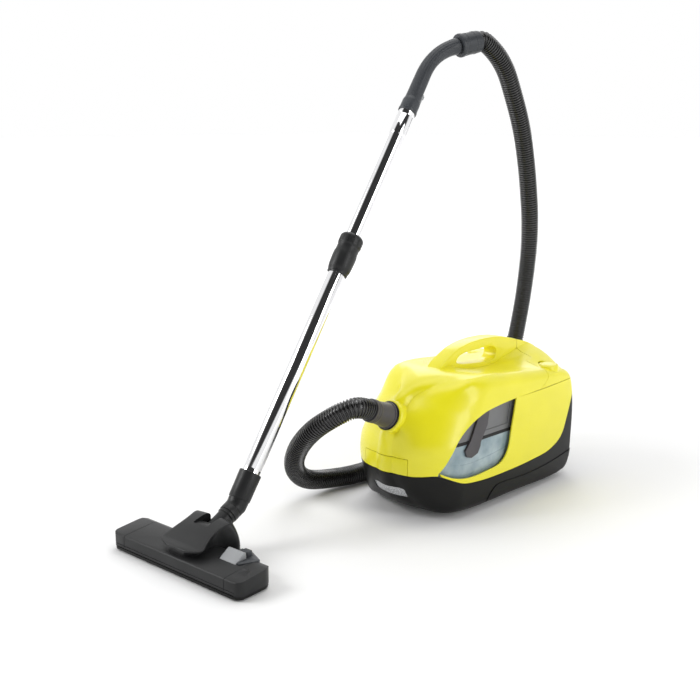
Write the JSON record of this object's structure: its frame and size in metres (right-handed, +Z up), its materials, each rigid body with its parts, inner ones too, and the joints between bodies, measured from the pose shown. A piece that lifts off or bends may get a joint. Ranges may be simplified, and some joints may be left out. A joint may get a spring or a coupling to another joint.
{
  "type": "canister water-filter vacuum cleaner",
  "caption": "Canister vacuum cleaner with a water filter tank, ribbed suction hose, bent grip, telescopic wand and floor head.",
  "frame": {"origin": "centre of the footprint of the machine, wand and floor head, without the hose, on the floor", "axes": "+X to the machine's right, -Y towards its front and the floor head, +Z up"},
  "size_m": [0.413, 1.1753, 1.0221],
  "materials": {
    "yellow_shell": "moulded, semi-gloss",
    "black_base": "moulded, fine grain",
    "dark_plastic": "moulded, satin",
    "steel": "turned",
    "copper_winding": "wound wire",
    "rubber_part": "soft, matt",
    "tank_clear": "clear moulded",
    "grey_lid": "moulded, satin",
    "cuff_grey": "moulded, satin",
    "filter_paper": "pleated",
    "circuit_green": "board",
    "hose_black": "ribbed, satin",
    "slate_plastic": "moulded, satin",
    "grey_control": "moulded, satin",
    "chrome_tube": "polished",
    "bristle_black": "bristle"
  },
  "bodies": {
    "machine": {"base_shell": "black_base", "body_shell": "yellow_shell", "rear_cover": "yellow_shell", "water_tank": "tank_clear", "tank_seal": "rubber_part", "tank_lid": "grey_lid", "tank_handle": "cuff_grey", "motor_mount": "rubber_part", "fan_housing": "dark_plastic", "motor_casing": "dark_plastic", "reel_axle": "steel", "reel_bracket": "dark_plastic", "hepa_filter": "filter_paper", "circuit_board": "circuit_green", "power_switch": "dark_plastic", "rear_axle_left": "steel", "rear_axle_right": "steel", "hepa_cover_pin": "steel", "base_screw_1": "steel", "base_screw_2": "steel", "base_screw_3": "steel", "base_screw_4": "steel", "cord_gland": "rubber_part", "suction_hose": "hose_black", "handle_grip": "slate_plastic", "wand_upper_tube": "chrome_tube"},
    "hood_body": {"hood": "yellow_shell", "inlet_socket": "dark_plastic", "inlet_seal": "rubber_part"},
    "latch_body": {"latch_flap": "yellow_shell"},
    "power_button_body": {"power_button": "yellow_shell"},
    "rewind_button_body": {"rewind_button": "yellow_shell"},
    "hatch_body": {"hepa_cover": "black_base"},
    "rotor_body": {"rotor_shaft": "steel", "motor_rotor": "copper_winding", "fan_impeller": "steel"},
    "reel_body": {"cable_reel": "dark_plastic"},
    "wheel_left_body": {"rear_wheel_left": "rubber_part"},
    "wheel_right_body": {"rear_wheel_right": "rubber_part"},
    "caster_body": {"caster_fork": "dark_plastic", "caster_axle": "steel"},
    "caster_wheel_body": {"caster_wheel": "rubber_part"},
    "cuff_body": {"hose_cuff": "cuff_grey"},
    "collar_body": {"hose_collar": "slate_plastic"},
    "slider_body": {"suction_slider": "grey_control"},
    "wand_body": {"wand_lower_tube": "chrome_tube", "wand_collar": "dark_plastic", "nozzle_neck": "dark_plastic"},
    "release_body": {"wand_release_button": "grey_control"},
    "rocker_body": {"nozzle_rocker": "dark_plastic"},
    "head_body": {"head_cover": "dark_plastic", "head_sole_plate": "black_base", "head_wheel_pin_left": "steel", "head_wheel_pin_right": "steel"},
    "brush_body": {"brush_strip": "bristle_black"},
    "pedal_body": {"brush_pedal": "grey_control"},
    "head_wheel_left_body": {"head_wheel_left": "rubber_part"},
    "head_wheel_right_body": {"head_wheel_right": "rubber_part"}
  },
  "joints": [
    {"name": "hood_hinge", "type": "hinge", "parent": "machine", "child": "hood_body", "pos_m": [0.067, 0.422, 0.32], "axis": [-1, 0, 0], "range_deg": [0, 45], "deforming": ["suction_hose"]},
    {"name": "latch_hinge", "type": "hinge", "parent": "hood_body", "child": "latch_body", "pos_m": [0.067, -0.0245, 0.136], "axis": [-1, 0, 0], "range_deg": [0, 18], "stiffness_Nm_per_rad": 0.25},
    {"name": "power_button_press", "type": "slide", "parent": "machine", "child": "power_button_body", "axis": [0, 0, -1], "range_m": [0, 0.004], "stiffness_N_per_m": 400},
    {"name": "rewind_button_press", "type": "slide", "parent": "machine", "child": "rewind_button_body", "axis": [0, 0, -1], "range_m": [0, 0.004], "stiffness_N_per_m": 400},
    {"name": "hepa_cover_hinge", "type": "hinge", "parent": "machine", "child": "hatch_body", "pos_m": [0.067, 0.496, 0.068], "axis": [-1, 0, 0], "range_deg": [0, 75]},
    {"name": "rotor_spin", "type": "hinge", "parent": "machine", "child": "rotor_body", "pos_m": [0.105, 0.35, 0.1], "axis": [0, 0, 1], "continuous": true},
    {"name": "reel_spin", "type": "hinge", "parent": "machine", "child": "reel_body", "pos_m": [-0.021, 0.366, 0.14], "axis": [1, 0, 0], "continuous": true},
    {"name": "wheel_left_spin", "type": "hinge", "parent": "machine", "child": "wheel_left_body", "pos_m": [-0.037, 0.434, 0.031], "axis": [1, 0, 0], "continuous": true},
    {"name": "wheel_right_spin", "type": "hinge", "parent": "machine", "child": "wheel_right_body", "pos_m": [0.171, 0.434, 0.031], "axis": [1, 0, 0], "continuous": true},
    {"name": "caster_swivel", "type": "hinge", "parent": "machine", "child": "caster_body", "pos_m": [0.067, 0.088, 0.019], "axis": [0, 0, 1], "continuous": true},
    {"name": "caster_wheel_spin", "type": "hinge", "parent": "caster_body", "child": "caster_wheel_body", "pos_m": [0.067, 0.097, 0.019], "axis": [1, 0, 0], "continuous": true},
    {"name": "cuff_swivel", "type": "hinge", "parent": "hood_body", "child": "cuff_body", "pos_m": [0.067, -0.011, 0.22], "axis": [0, -0.9205, 0.3907], "continuous": true},
    {"name": "collar_swivel", "type": "hinge", "parent": "machine", "child": "collar_body", "pos_m": [-0.05827, 0.34965, 0.9867], "axis": [0.3021, 0.9303, 0.2081], "continuous": true},
    {"name": "suction_slide", "type": "slide", "parent": "machine", "child": "slider_body", "axis": [-0.0405, 0.5793, 0.8141], "range_m": [0, 0.013]},
    {"name": "telescope_slide", "type": "slide", "parent": "machine", "child": "wand_body", "axis": [-0.0405, 0.5793, 0.8141], "range_m": [0, 0.22]},
    {"name": "release_slide", "type": "slide", "parent": "wand_body", "child": "release_body", "axis": [-0.0405, 0.5793, 0.8141], "range_m": [0, 0.006], "stiffness_N_per_m": 300},
    {"name": "neck_swivel", "type": "hinge", "parent": "wand_body", "child": "rocker_body", "pos_m": [-0.03344, -0.3413, 0.086], "axis": [-0.0625, 0.8943, 0.443], "range_deg": [-80, 80]},
    {"name": "head_tilt", "type": "hinge", "parent": "rocker_body", "child": "head_body", "pos_m": [-0.02751, -0.42609, 0.044], "axis": [0.9976, 0.0698, 0], "range_deg": [-45, 14]},
    {"name": "brush_lift", "type": "slide", "parent": "head_body", "child": "brush_body", "axis": [0, 0, 1], "range_m": [0, 0.005]},
    {"name": "pedal_tilt", "type": "hinge", "parent": "head_body", "child": "pedal_body", "pos_m": [-0.02807, -0.41811, 0.0405], "axis": [0.9976, 0.0698, 0], "range_deg": [0, 10]},
    {"name": "head_wheel_left_spin", "type": "hinge", "parent": "head_body", "child": "head_wheel_left_body", "pos_m": [-0.16833, -0.44796, 0.009], "axis": [0.9976, 0.0698, 0], "continuous": true},
    {"name": "head_wheel_right_spin", "type": "hinge", "parent": "head_body", "child": "head_wheel_right_body", "pos_m": [0.11498, -0.42815, 0.009], "axis": [0.9976, 0.0698, 0], "continuous": true}
  ],
  "couplings": [
    {"joint": "brush_lift", "follows": "pedal_tilt", "m_per_rad": 0.0286}
  ]
}
